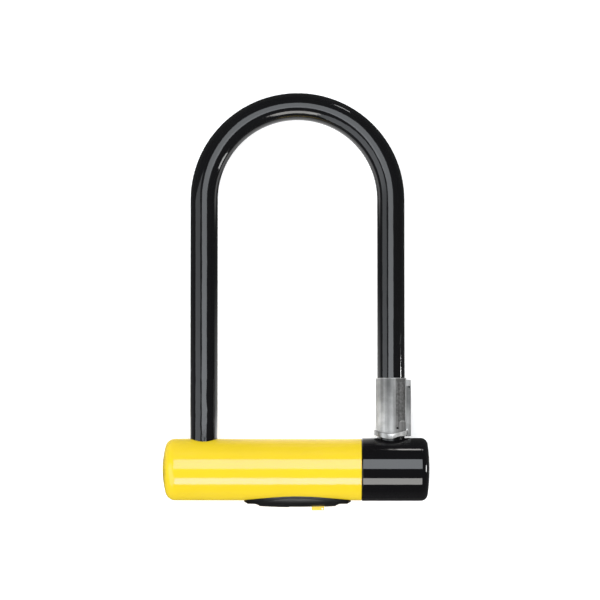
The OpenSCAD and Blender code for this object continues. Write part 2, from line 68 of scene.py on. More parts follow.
# The lock lies on its crossbar and its arch, so the surface under it leans by this much
LEAN = math.asin((CAP_R - COAT_R) / (ARCH_Y - BAR_AXIS.y))


def over_foot(height):
    """Y of a height in millimetres over the collar's foot"""
    return COLLAR_LOW.y + height * MM


def under_rim(depth):
    """Y of a depth in millimetres under the collar's top rim"""
    return COLLAR_HIGH.y - depth * MM


def behind_bar(distance):
    """Y of a distance in millimetres behind the crossbar's jacket, towards the arch"""
    return JACKET_BACK + distance * MM


# The collar's features, from the sizes in the part's source
COLLAR_R = COAT_R + 0.97 * MM
LIP_R = COLLAR_R + 1.2 * MM
TONGUE_TOP = over_foot(11.9)
TOOTH_LOW = under_rim(5.0)
NOTCH_LOW = TOOTH_LOW - 1.1 * MM
NOTCH_X = COLLAR_HIGH.x - RIGHT_LEG.x - 1.6 * MM
# The lip's edge is worn broadly up to this far right of the leg's axis
WORN_LIP_RIGHT = 7.0 * MM

# Shares of the collar's plain tone where light and shade are painted on it; a pair is a share that changes
SLEEVE_PAINTED_LIGHT_LEFT_TO_MIDDLE = (1.15, 0.98)
PAINTED_LIGHT_AT_FOOT = 1.85
PAINTED_RIM_HIGHLIGHT = 1.6
PAINTED_TONGUE_HIGHLIGHT = 1.9
PANEL_MOTTLE_AND_SHADE = (0.52, 1.0)
PANEL_WALL_SHADOW = 0.62
RAIL_FOOT_TO_TOP = (0.85, 0.38)
NOTCH_SHADE = 0.4
LIP_PAINTED_SHADE_TO_LIGHT = (0.45, 2.8)
# Centre right of the leg's axis, half width and share of each streak of painted dark reflection
DARK_REFLECTION_STREAKS = ((-1.2 * MM, 4.2 * MM, 0.27), (-6.0 * MM, 1.7 * MM, 0.74))
# How much of the painted dark reflection is left at the foot, and at the top
DARK_REFLECTION_FOOT_TO_TOP = (0.2, 1.0)
# How much of the panel's painted shade is left in its lower left corner
PANEL_SHADE_IN_CORNER = 0.25
CASTING_METALLIC = 0.55
CASTING_GRAIN = (420.0, 12.0, 420.0)
SLEEVE_ROUGHNESS = 0.48
LIP_ROUGHNESS = 0.3

# How the copies of CAD meshes are merged, rounded and shaded
MERGE_DISTANCE = 0.002 * MM
FLAT_ANGLE = math.radians(0.2)
SHARP_ANGLE = math.radians(28)
SHADED_ANGLE = math.radians(38)
ROUNDING_STEPS = 3

# Nearly all of a noise lies in the first span; marks grow from none to full over the others
NOISE_SPAN = (0.3, 0.7)
SMUDGE_SPAN = (0.42, 0.68)
SCUFF_SPAN = (0.66, 0.76)
MOTTLE_SPAN = (0.3, 0.72)
# Darkest and brightest shares of a colour
STREAK_TONES = (0.72, 1.1)
CLOUD_TONES = (0.82, 1.08)
PLASTIC_TONES = (0.85, 1.12)
# Heights of the surface textures
VINYL_RELIEF = 0.1 * MM
PLASTIC_RELIEF = 0.02 * MM
CASTING_RELIEF = 0.015 * MM
PLASTIC_IOR = 1.5
WHITE = (1.0, 1.0, 1.0)
EVENLY = (1.0, 1.0, 1.0)
# The coat's waves are drawn out along the legs, and grow by these shares at the two feet
ALONG_LEGS = (2.4, 0.7, 2.4)
SAG_LEFT_TO_RIGHT = (1.3, 0.4)
# What rubbing adds to the coat's roughness
COAT_RUBBED = 0.12
# The cap's roughness as a share of the coat's
CAP_ROUGHNESS = 0.6

# The studio
AXIS_X, AXIS_Y, AXIS_Z = range(3)
CARD_X = 0.9
BACK_Y = 1.13
COAT = ["shackle_coat"]
CAP = ["black_end_cap"]
COVER = ["cover"]
# The coat's own box and card change their radiance between these two places on Y
GRADED_SPAN = (-0.08, 0.14)
# Radiance of two of the right cards, as shares of the first one's, and the narrow beam of the last
END_CARD_SHARE = 2.5
RIGHT_STRIP_SHARE = 0.026
RIGHT_STRIP_SPREAD = math.radians(9)
# Watts of an area light for a radiance of one, for each square metre
AREA_WATTS = 4
FLOOR_HALF = 4.0
PAPER_WHITE = (0.86, 0.86, 0.86, 1)
PAPER_ROUGHNESS = 0.9
PAPER_SHINE = 0.1
# What the paper adds to the light that the camera sees, and to the light that it sends back
PAPER_SEEN = 0.47
PAPER_SENT = 0.5
# Strength of the light from all round, where gloss mirrors it and where the camera sees it
MIRRORED_WORLD = 0.05
SEEN_WORLD = 1.0
SENSOR_WIDTH = 36.0
PICTURE_CENTRE = Vector((0.00255, 0.00075, BAR_AXIS.z))

# Limits that settings share
COLOUR = {"size": 3, "min": 0, "max": 1}
RADIANCE = {"min": 0, "max": 50}
EDGE = {"min": 0.05 * MM, "max": 1.0 * MM}


class LockFinish(PropertyGroup):
    """Colours and gloss of the lock's finishes"""
    black: FloatVectorProperty(name="Black vinyl", description="Colour of the shackle's coat",
                               default=(0.0052, 0.0052, 0.0058), subtype="COLOR", **COLOUR)
    cap: FloatVectorProperty(name="Cap vinyl", description="Colour of the crossbar's black end cap",
                             default=(0.0040, 0.0038, 0.0044), subtype="COLOR", **COLOUR)
    yellow: FloatVectorProperty(name="Yellow vinyl", description="Colour of the crossbar's jacket",
                                default=(0.735, 0.533, 0.020), subtype="COLOR", **COLOUR)
    shine: FloatVectorProperty(name="Yellow shine", description="Tint of the yellow vinyl's reflections",
                               default=(1.0, 0.35, 1.0), subtype="COLOR", **COLOUR)
    cover: FloatVectorProperty(name="Cover plastic", description="Colour of the keyway cover",
                               default=(0.006, 0.006, 0.0058), subtype="COLOR", **COLOUR)
    tab: FloatVectorProperty(name="Tab plastic", description="Colour of the shutter's thumb tab",
                             default=(0.84, 0.60, 0.085), subtype="COLOR", **COLOUR)
    casting: FloatVectorProperty(name="Collar metal", description="Colour of the bracket collar",
                                 default=(0.3635, 0.36, 0.353), subtype="COLOR", **COLOUR)
    steel: FloatVectorProperty(name="Hardened steel", description="Colour of the bar, bolts and armour",
                               default=(0.50, 0.50, 0.51), subtype="COLOR", **COLOUR)
    brass: FloatVectorProperty(name="Lock brass", description="Colour of the cylinder and its discs",
                               default=(0.72, 0.53, 0.24), subtype="COLOR", **COLOUR)
    nylon: FloatVectorProperty(name="Guide nylon", description="Colour of the bolt guides",
                               default=(0.42, 0.38, 0.30), subtype="COLOR", **COLOUR)
    gloss: FloatProperty(name="Vinyl roughness", description="Roughness of the coat's clean vinyl",
                         min=0.02, max=0.6, default=0.075)


class LockStage(PropertyGroup):
    """Camera and lights of the studio"""
    distance: FloatProperty(name="Camera distance", description="From the lock to the camera",
                            subtype="DISTANCE", min=0.5, max=6, default=2.5)
    field: FloatProperty(name="Field", description="Width of the picture at the lock",
                         subtype="DISTANCE", min=0.1, max=1, default=0.3822)
    top_box: FloatProperty(name="Top box", description="Radiance of the softbox over the lock",
                           default=3.38, **RADIANCE)
    front_box: FloatProperty(name="Front box", description="Radiance of the softbox on the keyway side",
                             default=5.3, **RADIANCE)
    cover_card: FloatProperty(name="Cover card", description="Radiance of the low card for the keyway cover",
                              default=7.0, **RADIANCE)
    left_card: FloatProperty(name="Left card", description="Radiance of the large card at the left",
                             default=1.4, **RADIANCE)
    right_card: FloatProperty(name="Right card", description="Radiance of the low cards at the right",
                              default=6.5, **RADIANCE)
    back_strip: FloatProperty(name="Back strip", description="Radiance of the low cards beyond the arch",
                              default=6.5, **RADIANCE)
    back_fill: FloatProperty(name="Back fill", description="Radiance of the fill that no gloss mirrors",
                             default=2.9, **RADIANCE)
    fill: FloatProperty(name="Fill", description="Even light from all round",
                        min=0, max=10, default=0.32)
    cool: FloatVectorProperty(name="Cool light", description="Colour of the top box and the left card",
                              default=(0.91, 0.957, 1.0), subtype="COLOR", **COLOUR)
    warm: FloatVectorProperty(name="Warm light", description="Colour of the front box and the back strip",
                              default=(1.0, 0.982, 0.95), subtype="COLOR", **COLOUR)


class LockSizes(PropertyGroup):
    """Radii of the softened edges"""
    casting_edge: FloatProperty(name="Casting edge", description="Radius worn onto the collar's edges",
                                default=0.22 * MM, subtype="DISTANCE", **EDGE)
    lip_edge: FloatProperty(name="Lip edge", description="Radius worn onto the collar's lip and top rim",
                            default=0.42 * MM, subtype="DISTANCE", **EDGE)
    moulding_edge: FloatProperty(name="Moulding edge", description="Radius on the cover's edges",
                                 default=0.28 * MM, subtype="DISTANCE", **EDGE)
    tab_edge: FloatProperty(name="Tab edge", description="Radius on the shutter's edges",
                            default=0.3 * MM, subtype="DISTANCE", **EDGE)


def settings():
    """The three groups of settings on the scene"""
    scene = bpy.context.scene
    return scene.lock_finish, scene.lock_sizes, scene.lock_stage


def node(tree, kind, **values):
    """One shader node; a name like in_0 sets an input, any other sets a property"""
    made = tree.nodes.new(kind)
    for name, value in values.items():
        if name.startswith("in_"):
            key = name[3:]
            made.inputs[int(key) if key.isdigit() else key].default_value = value
        else:
            setattr(made, name, value)
    return made


def link(tree, source, target):
    tree.links.new(source, target)


def put(tree, value, target):
    """Links a socket to an input, or sets a number or a vector on it"""
    if isinstance(value, NodeSocket):
        link(tree, value, target)
    else:
        target.default_value = value


def first_of(tree, kind):
    """The first node of a kind in a tree"""
    return next(n for n in tree.nodes if n.type == kind)


def combined(tree, operation, first, second, clamp=False):
    """One operation on two values, each of them a socket or a number"""
    made = node(tree, "ShaderNodeMath", operation=operation, use_clamp=clamp)
    put(tree, first, made.inputs[0])
    put(tree, second, made.inputs[1])
    return made.outputs[0]


def times(tree, first, second):
    return combined(tree, "MULTIPLY", first, second)


def plus(tree, first, second, clamp=False):
    return combined(tree, "ADD", first, second, clamp)


def ramp(tree, source, low, high, low_value, high_value):
    """Maps source from low..high to low_value..high_value, smoothly"""
    made = node(tree, "ShaderNodeMapRange", interpolation_type="SMOOTHSTEP",
                in_1=low, in_2=high, in_3=low_value, in_4=high_value)
    link(tree, source, made.inputs[0])
    return made.outputs[0]


def rising(tree, source, low, high):
    """None up to low, one from high on"""
    return ramp(tree, source, low, high, 0.0, 1.0)


def falling(tree, source, low, high):
    """One up to low, none from high on"""
    return ramp(tree, source, low, high, 1.0, 0.0)


def band(tree, source, centre, half):
    """One at the centre, none further than half from it"""
    away = combined(tree, "SUBTRACT", source, centre)
    size = node(tree, "ShaderNodeMath", operation="ABSOLUTE")
    link(tree, away, size.inputs[0])
    return falling(tree, size.outputs[0], 0.0, half)


def shaded_by(tree, tone, mask, share):
    """tone, times a share where the mask is one; the share is a socket or a number"""
    made = node(tree, "ShaderNodeMix", data_type="FLOAT", in_2=1.0)
    link(tree, mask, made.inputs[0])
    put(tree, share, made.inputs[3])
    return times(tree, tone, made.outputs[0])


def tinted(tree, colour, factor):
    """colour times a changing factor"""
    made = node(tree, "ShaderNodeVectorMath", operation="SCALE", in_0=colour)
    link(tree, factor, made.inputs["Scale"])
    return made.outputs[0]


def stretched(tree, place, across):
    """A place, each axis times its own number"""
    made = node(tree, "ShaderNodeVectorMath", operation="MULTIPLY")
    put(tree, place, made.inputs[0])
    put(tree, across, made.inputs[1])
    return made.outputs[0]


def split(tree, place):
    """X and Y of a place"""
    axes = tree.nodes.new("ShaderNodeSeparateXYZ")
    link(tree, place, axes.inputs[0])
    return axes.outputs["X"], axes.outputs["Y"]


def noise(tree, place, scale, detail, roughness=0.5):
    """Soft noise over a place"""
    made = node(tree, "ShaderNodeTexNoise", in_Scale=scale, in_Detail=detail, in_Roughness=roughness)
    link(tree, place, made.inputs["Vector"])
    return made.outputs["Fac"]


def new_group(name, inputs, outputs):
    """An empty node group that takes a place and the named inputs, with the sockets at its two ends"""
    group = bpy.data.node_groups.new(name, "ShaderNodeTree")
    group.interface.new_socket(name="Place", in_out="INPUT", socket_type="NodeSocketVector")
    for label, value in inputs.items():
        kind = "NodeSocketFloat" if isinstance(value, float) else "NodeSocketVector"
        made = group.interface.new_socket(name=label, in_out="INPUT", socket_type=kind)
        made.default_value = value
    for label in outputs:
        group.interface.new_socket(name=label, in_out="OUTPUT", socket_type="NodeSocketFloat")
    return group, group.nodes.new("NodeGroupInput").outputs, group.nodes.new("NodeGroupOutput").inputs


def handling_marks(name):
    """Group: soft smudges and fine scuffs that change the gloss of a handled surface"""
    group, given, result = new_group(name, {"Roughness": 0.1, "Smudge": 0.03, "Scuff": 0.05}, ["Roughness"])
    cloud = noise(group, given["Place"], scale=38.0, detail=4.0, roughness=0.55)
    smudge = times(group, rising(group, cloud, *SMUDGE_SPAN), given["Smudge"])
    turn = node(group, "ShaderNodeMapping", in_Rotation=(0.3, 0.5, 0.9), in_Scale=(60.0, 900.0, 420.0))
    link(group, given["Place"], turn.inputs["Vector"])
    hair = noise(group, turn.outputs[0], scale=1.0, detail=2.0)
    scuff = times(group, rising(group, hair, *SCUFF_SPAN), given["Scuff"])
    total = plus(group, plus(group, smudge, scuff), given["Roughness"], clamp=True)
    link(group, total, result["Roughness"])


def dipped_skin(name):
    """Group: the slow waves and fine peel of a thick dipped or moulded skin, as a height"""
    group, given, result = new_group(name, {"Across": EVENLY, "Wave": 1.0, "Peel": 0.1}, ["Height"])
    place = stretched(group, given["Place"], given["Across"])
    slow = noise(group, place, scale=150.0, detail=1.5, roughness=0.45)
    fine = noise(group, given["Place"], scale=900.0, detail=2.0)
    total = plus(group, times(group, slow, given["Wave"]), times(group, fine, given["Peel"]))
    link(group, total, result["Height"])


def drawn_grain(name):
    """Group: streaks along one axis, as tone and height, for drawn, turned or cast metal"""
    group, given, result = new_group(name, {"Across": (900.0, 40.0, 900.0)}, ["Tone", "Height"])
    place = stretched(group, given["Place"], given["Across"])
    streak = noise(group, place, scale=1.0, detail=5.0, roughness=0.6)
    cloud = noise(group, given["Place"], scale=160.0, detail=3.0, roughness=0.6)
    streaked = ramp(group, streak, *NOISE_SPAN, *STREAK_TONES)
    clouded = ramp(group, cloud, *NOISE_SPAN, *CLOUD_TONES)
    link(group, times(group, streaked, clouded), result["Tone"])
    link(group, streak, result["Height"])


SHARED_GROUPS = {"handling marks": handling_marks, "dipped skin": dipped_skin, "drawn grain": drawn_grain}


def shared(tree, name, place, **values):
    """Puts a shared group, built at its first use, into a material with its own values"""
    if name not in bpy.data.node_groups:
        SHARED_GROUPS[name](name)
    made = node(tree, "ShaderNodeGroup", node_tree=bpy.data.node_groups[name])
    link(tree, place, made.inputs["Place"])
    for label, value in values.items():
        put(tree, value, made.inputs[label])
    return made.outputs


def handled(tree, place, roughness, smudge, scuff):
    """Roughness with the marks of handling on it"""
    marks = shared(tree, "handling marks", place, Roughness=roughness, Smudge=smudge, Scuff=scuff)
    return marks["Roughness"]


def start_material(name):
    """A material with a principled shader, its tree and the piece's own coordinates"""
    material = bpy.data.materials.new(name)
    material.use_nodes = True
    tree = material.node_tree
    place = tree.nodes.new("ShaderNodeTexCoord").outputs["Object"]
    return material, tree, first_of(tree, "BSDF_PRINCIPLED"), place


def add_bump(tree, shader, height, distance):
    """Bends a shader's normals as if the surface rose by up to the distance"""
    bump = node(tree, "ShaderNodeBump", in_Strength=1.0, in_Distance=distance)
    link(tree, height, bump.inputs["Height"])
    link(tree, bump.outputs[0], shader.inputs["Normal"])


def rubbed(tree, place, rough):
    """Roughness, with more on the right leg between the collar and the crossbar, where it is rubbed"""
    across, along = split(tree, place)
    right = ramp(tree, across, 0.0, 1.0 * MM, 0.0, COAT_RUBBED)
    low = falling(tree, along, over_foot(1.0), over_foot(5.0))
    return plus(tree, rough, times(tree, right, low), clamp=True)


def sagged(tree, place, height):
    """A height that grows towards the feet, most at the left one, where a dipped skin sags"""
    across, along = split(tree, place)
    low = falling(tree, along, COLLAR_HIGH.y - 20.0 * MM, COLLAR_HIGH.y + 25.0 * MM)
    left = ramp(tree, across, -10.0 * MM, 10.0 * MM, *SAG_LEFT_TO_RIGHT)
    return times(tree, height, plus(tree, times(tree, low, left), 1.0))


def vinyl(name, colour, gloss, smudge, scuff, wave, peel,
          tones=(0.93, 1.05), ior=PLASTIC_IOR, shine=WHITE, worn=False):
    """Thick glossy vinyl: even colour, slow waves, fine peel, smudges and scuffs, and wear on the coat"""
    material, tree, shader, place = start_material(name)
    shader.inputs["IOR"].default_value = ior
    shader.inputs["Specular Tint"].default_value = (*shine, 1.0)
    drift = noise(tree, place, scale=22.0, detail=3.0)
    tone = ramp(tree, drift, *NOISE_SPAN, *tones)
    link(tree, tinted(tree, colour, tone), shader.inputs["Base Color"])
    rough = handled(tree, place, gloss, smudge, scuff)
    across = ALONG_LEGS if worn else EVENLY
    height = shared(tree, "dipped skin", place, Across=across, Wave=wave, Peel=peel)["Height"]
    if worn:
        rough = rubbed(tree, place, rough)
        height = sagged(tree, place, height)
    link(tree, rough, shader.inputs["Roughness"])
    add_bump(tree, shader, height, VINYL_RELIEF)
    return material


def satin_plastic(name, colour, roughness):
    """Moulded plastic with a fine etched texture"""
    material, tree, shader, place = start_material(name)
    shader.inputs["IOR"].default_value = PLASTIC_IOR
    cloud = noise(tree, place, scale=120.0, detail=4.0)
    tone = ramp(tree, cloud, *NOISE_SPAN, *PLASTIC_TONES)
    link(tree, tinted(tree, colour, tone), shader.inputs["Base Color"])
    link(tree, handled(tree, place, roughness, smudge=0.08, scuff=0.05), shader.inputs["Roughness"])
    etch = noise(tree, place, scale=2600.0, detail=2.0)
    add_bump(tree, shader, etch, PLASTIC_RELIEF)
    return material


def metal(name, colour, roughness, across, relief, scuff):
    """Bare metal with a grain along one axis, scuffed by handling"""
    material, tree, shader, place = start_material(name)
    shader.inputs["Metallic"].default_value = 1.0
    grain = shared(tree, "drawn grain", place, Across=across)
    link(tree, tinted(tree, colour, grain["Tone"]), shader.inputs["Base Color"])
    link(tree, handled(tree, place, roughness, smudge=0.1, scuff=scuff), shader.inputs["Roughness"])
    add_bump(tree, shader, grain["Height"], relief)
    return material


CollarSpot = namedtuple("CollarSpot", "place right along radius")


def collar_spot(tree, place):
    """A place on the collar, with its distances right of the leg's axis, along it and out from it"""
    apart = node(tree, "ShaderNodeVectorMath", operation="SUBTRACT", in_1=RIGHT_LEG)
    link(tree, place, apart.inputs[0])
    length = node(tree, "ShaderNodeVectorMath", operation="LENGTH")
    link(tree, stretched(tree, apart.outputs[0], (1.0, 0.0, 1.0)), length.inputs[0])
    right, along = split(tree, apart.outputs[0])
    return CollarSpot(place, right, along, length.outputs["Value"])


def painted_sleeve_light(tree, spot, tone):
    """Paints the sleeve lighter at its left, a painted highlight low on the left and along its rim, and
    streaks of painted dark reflection towards the top
    """
    # Painted light: the sleeve is lighter at its left
    tone = times(tree, tone, ramp(tree, spot.right, -9.5 * MM, -3.0 * MM, *SLEEVE_PAINTED_LIGHT_LEFT_TO_MIDDLE))
    # Painted light low on the left, over the foot
    low = falling(tree, spot.along, over_foot(12.0), over_foot(30.0))
    left = band(tree, spot.right, -6.0 * MM, 4.5 * MM)
    tone = shaded_by(tree, tone, times(tree, low, left), PAINTED_LIGHT_AT_FOOT)
    # Painted highlight along the top rim
    edge = rising(tree, spot.along, under_rim(0.75), under_rim(0.5))
    tone = shaded_by(tree, tone, edge, PAINTED_RIM_HIGHLIGHT)
    # Streaks of painted dark reflection, fading towards the foot
    high = ramp(tree, spot.along, over_foot(8.0), under_rim(3.0), *DARK_REFLECTION_FOOT_TO_TOP)
    for centre, half, share in DARK_REFLECTION_STREAKS:
        streak = band(tree, spot.right, centre, half)
        tone = shaded_by(tree, tone, times(tree, high, streak), share)
    return tone


def painted_panel_shade(tree, spot, tone):
    """Mottles the sunk panel and darkens it with painted shade, with a painted shadow along its left wall,
    and paints a highlight on its tongue's top
    """
    deep = falling(tree, spot.radius, COLLAR_R - 0.3 * MM, COLLAR_R - 0.08 * MM)
    sunk = times(tree, deep, falling(tree, spot.along, under_rim(0.5), under_rim(0.3)))
    # The painted shade fades nearly out in its lower left corner
    shade_fade = times(tree, falling(tree, spot.along, over_foot(11.0), over_foot(17.0)),
                  falling(tree, spot.right, 4.0 * MM, 4.9 * MM))
    sunk = times(tree, sunk, ramp(tree, shade_fade, 0.0, 1.0, 1.0, PANEL_SHADE_IN_CORNER))
    mottle = noise(tree, spot.place, scale=620.0, detail=4.0, roughness=0.6)
    panel = ramp(tree, mottle, *MOTTLE_SPAN, *PANEL_MOTTLE_AND_SHADE)
    # Painted shadow along the panel's left wall
    panel = shaded_by(tree, panel, band(tree, spot.right, 4.7 * MM, 1.3 * MM), PANEL_WALL_SHADOW)
    # Mottle and painted shade over the sunk panel
    tone = shaded_by(tree, tone, sunk, panel)
    # Painted highlight along the tongue's top
    tongue = times(tree, rising(tree, spot.right, 4.4 * MM, 5.2 * MM),
                   falling(tree, spot.right, 8.4 * MM, 9.0 * MM))
    crest = times(tree, band(tree, spot.along, TONGUE_TOP - 0.5 * MM, 1.1 * MM), tongue)
    proud = falling(tree, sunk, 0.0, 1.0)
    return shaded_by(tree, tone, times(tree, crest, proud), PAINTED_TONGUE_HIGHLIGHT)


def dark_rail(tree, spot, tone):
    """Darkens the rail below its tooth, more towards the top, and its notch further"""
    beside = rising(tree, spot.right, COLLAR_R - 0.05 * MM, COLLAR_R + 0.1 * MM)
    below = falling(tree, spot.along, TOOTH_LOW - 0.1 * MM, TOOTH_LOW)
    share = ramp(tree, spot.along, over_foot(10.0), over_foot(24.0), *RAIL_FOOT_TO_TOP)
    tone = shaded_by(tree, tone, times(tree, beside, below), share)
    inside = times(tree, rising(tree, spot.along, NOTCH_LOW - 0.05 * MM, NOTCH_LOW),
                   rising(tree, spot.right, NOTCH_X - 0.05 * MM, NOTCH_X))
    inside = times(tree, inside, falling(tree, spot.along, TOOTH_LOW, TOOTH_LOW + 0.05 * MM))
    return shaded_by(tree, tone, inside, NOTCH_SHADE)


def lip_mask(tree, spot):
    """One on the lip round the collar's foot, as far as the rail"""
    outer = rising(tree, spot.radius, COLLAR_R + 0.2 * MM, COLLAR_R + 0.6 * MM)
    lip = times(tree, outer, falling(tree, spot.along, over_foot(6.0), over_foot(7.0)))
    return times(tree, lip, falling(tree, spot.right, 10.0 * MM, 10.6 * MM))


def casting(name, colour):
    """Dull cast metal, streaked along the leg, with painted light, highlights and dark reflections on the
    sleeve, painted shade on the panel, a darker rail and a lip painted darker on the left and brighter on
    the right
    """
    material, tree, shader, place = start_material(name)
    shader.inputs["Metallic"].default_value = CASTING_METALLIC
    spot = collar_spot(tree, place)
    grain = shared(tree, "drawn grain", place, Across=CASTING_GRAIN)
    tone = painted_sleeve_light(tree, spot, grain["Tone"])
    tone = painted_panel_shade(tree, spot, tone)
    tone = dark_rail(tree, spot, tone)
    lip = lip_mask(tree, spot)
    # Painted shade and light on the lip: darker at its left, much brighter towards the rail
    share = ramp(tree, spot.right, -7.0 * MM, 7.0 * MM, *LIP_PAINTED_SHADE_TO_LIGHT)
    tone = shaded_by(tree, tone, lip, share)
    link(tree, tinted(tree, colour, tone), shader.inputs["Base Color"])
    # Scuffs shine on cast metal
    roughness = ramp(tree, lip, 0.0, 1.0, SLEEVE_ROUGHNESS, LIP_ROUGHNESS)
    link(tree, handled(tree, place, roughness, smudge=0.06, scuff=-0.1), shader.inputs["Roughness"])
    add_bump(tree, shader, grain["Height"], CASTING_RELIEF)
    return material


def dress(names, material):
    """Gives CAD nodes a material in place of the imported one"""
    for name in names:
        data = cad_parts[name].data
        data.materials.clear()
        data.materials.append(material)


def on_lip(point):
    """Whether a point is on the collar's lip or its top outer rim"""
    away = math.hypot(point.x - RIGHT_LEG.x, point.z - RIGHT_LEG.z)
    on_rim = point.y > under_rim(0.1) and abs(away - COLLAR_R) < 0.1 * MM
    return on_rim or abs(away - LIP_R) < 0.05 * MM and point.x < RIGHT_LEG.x + WORN_LIP_RIGHT


def sharp_edges(bm):
    """Edges between two faces that meet at more than the sharp angle"""
    return [e for e in bm.edges if len(e.link_faces) == 2 and e.calc_face_angle() > SHARP_ANGLE]


def rounded(bm, edges, radius):
    """Rounds edges of a mesh"""
    bmesh.ops.bevel(bm, geom=edges, offset=radius, offset_type="OFFSET", segments=ROUNDING_STEPS,
                    profile=0.5, affect="EDGES", clamp_overlap=True, material=-1)


def softened(source, name, radius, broad=0.0, where=None):
    """A merged copy of a CAD node's mesh with rounded edges, broad ones where both their ends pass a test"""
    bm = bmesh.new()
    bm.from_mesh(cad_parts[source].data)
    bmesh.ops.remove_doubles(bm, verts=bm.verts, dist=MERGE_DISTANCE)
    bmesh.ops.dissolve_limit(bm, angle_limit=FLAT_ANGLE, use_dissolve_boundaries=False,
                             verts=bm.verts, edges=bm.edges, delimit=set())
    if where:
        rounded(bm, [e for e in sharp_edges(bm) if all(where(v.co) for v in e.verts)], broad)
    rounded(bm, sharp_edges(bm), radius)
    bmesh.ops.triangulate(bm, faces=[f for f in bm.faces if len(f.verts) > 4])
    for face in bm.faces:
        face.smooth = True
    mesh = bpy.data.meshes.new(name)
    bm.to_mesh(mesh)
    bm.free()
    mesh.set_sharp_from_angle(angle=SHADED_ANGLE)
    piece = bpy.data.objects.new(name, mesh)
    bpy.context.scene.collection.objects.link(piece)
    return piece


def finish_piece(piece, material, body, replaced):
    """Puts a new piece on its body in place of a CAD node"""
    piece.data.materials.clear()
    piece.data.materials.append(material)
    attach(piece, body)
    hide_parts(replaced)


class LOCK_OT_shackle(Operator):
    """Black vinyl on the shackle's coat and steel on its bar"""
    bl_idname = "lock.shackle"
    bl_label = "Shackle"

    def execute(self, context):
        finish, _, _ = settings()
        coat = vinyl("shackle vinyl", finish.black, finish.gloss, smudge=0.03, scuff=0.05,
                     wave=0.5, peel=0.004, worn=True)
        dress(["shackle_coat"], coat)
        bar = metal("shackle steel", finish.steel, roughness=0.3,
                    across=(900.0, 60.0, 900.0), relief=0.004 * MM, scuff=0.12)
        dress(["shackle_bar"], bar)
        return {"FINISHED"}


class LOCK_OT_crossbar(Operator):
    """Yellow and black vinyl on the crossbar's jacket and end cap"""
    bl_idname = "lock.crossbar"
    bl_label = "Crossbar jackets"

    def execute(self, context):
        finish, _, _ = settings()
        jacket = vinyl("yellow vinyl", finish.yellow, gloss=0.11, smudge=0.04, scuff=0.06,
                       wave=0.15, peel=0.004, tones=(0.97, 1.02), ior=1.6, shine=finish.shine)
        dress(["yellow_jacket"], jacket)
        cap = vinyl("cap vinyl", finish.cap, CAP_ROUGHNESS * finish.gloss, smudge=0.01, scuff=0.04,
                    wave=0.15, peel=0.002)
        dress(["black_end_cap"], cap)
        return {"FINISHED"}


class LOCK_OT_keyway(Operator):
    """Keyway cover, its backing plate and the sliding shutter"""
    bl_idname = "lock.keyway"
    bl_label = "Keyway cover"

    def execute(self, context):
        finish, sizes, _ = settings()
        plastic = satin_plastic("cover plastic", finish.cover, roughness=0.3)
        cover = softened("keyway_cover", "cover", sizes.moulding_edge)
        finish_piece(cover, plastic, "crossbar", "keyway_cover")
        dress(["backing_plate"], plastic)
        tab = softened("shutter", "shutter_tab", sizes.tab_edge)
        tab_plastic = vinyl("tab plastic", finish.tab, gloss=0.2, smudge=0.05, scuff=0.1,
                            wave=0.02, peel=0.004, tones=(0.95, 1.03))
        finish_piece(tab, tab_plastic, "shutter", "shutter")
        return {"FINISHED"}


class LOCK_OT_collar(Operator):
    """Bracket collar: a plain casting with softened edges"""
    bl_idname = "lock.collar"
    bl_label = "Bracket collar"

    def execute(self, context):
        finish, sizes, _ = settings()
        collar = softened("bracket_collar", "collar", sizes.casting_edge, broad=sizes.lip_edge, where=on_lip)
        material = casting("collar casting", finish.casting)
        finish_piece(collar, material, "shackle", "bracket_collar")
        return {"FINISHED"}


class LOCK_OT_works(Operator):
    """Steel, brass and nylon on the works inside the crossbar"""
    bl_idname = "lock.works"
    bl_label = "Lock works"

    def execute(self, context):
        finish, _, _ = settings()
        drawn = metal("tube steel", finish.steel, roughness=0.34,
                      across=(60.0, 900.0, 900.0), relief=0.004 * MM, scuff=0.12)
        dress(["armour_sleeve", "lock_tube", "end_plugs", "end_pins", "guide_pins", "cylinder_pin",
               "left_bolt", "right_bolt"], drawn)
        turned = metal("turned steel", finish.steel, roughness=0.26,
                       across=(900.0, 120.0, 900.0), relief=0.003 * MM, scuff=0.1)
        dress(["front_guard", "pinion", "pinion_screw", "sidebar"], turned)
        brass = metal("lock brass", finish.brass, roughness=0.28,
                      across=(800.0, 120.0, 800.0), relief=0.003 * MM, scuff=0.1)
        dress(["cylinder_body", "disc_carrier", "plug_face", "locking_discs", "disc_spacers"], brass)
        dress(["bolt_guides"], satin_plastic("guide nylon", finish.nylon, roughness=0.5))
        return {"FINISHED"}


def facing(centre, right, back):
    """The place and turn of a light or camera from its own X and Z axes"""
    turn = Matrix((right, back.cross(right), back)).transposed()
    return Matrix.Translation(centre) @ turn.to_4x4()


def fall_on(lamp, names, state):
    """Lets a light fall on the named objects alone with INCLUDE, or on all the others with EXCLUDE"""
    lit = bpy.data.collections.new(lamp.name + " pieces")
    for name in names:
        lit.objects.link(bpy.data.objects[name])
    for entry in lit.collection_objects:
        entry.light_linking.link_state = state
    lamp.light_linking.receiver_collection = lit


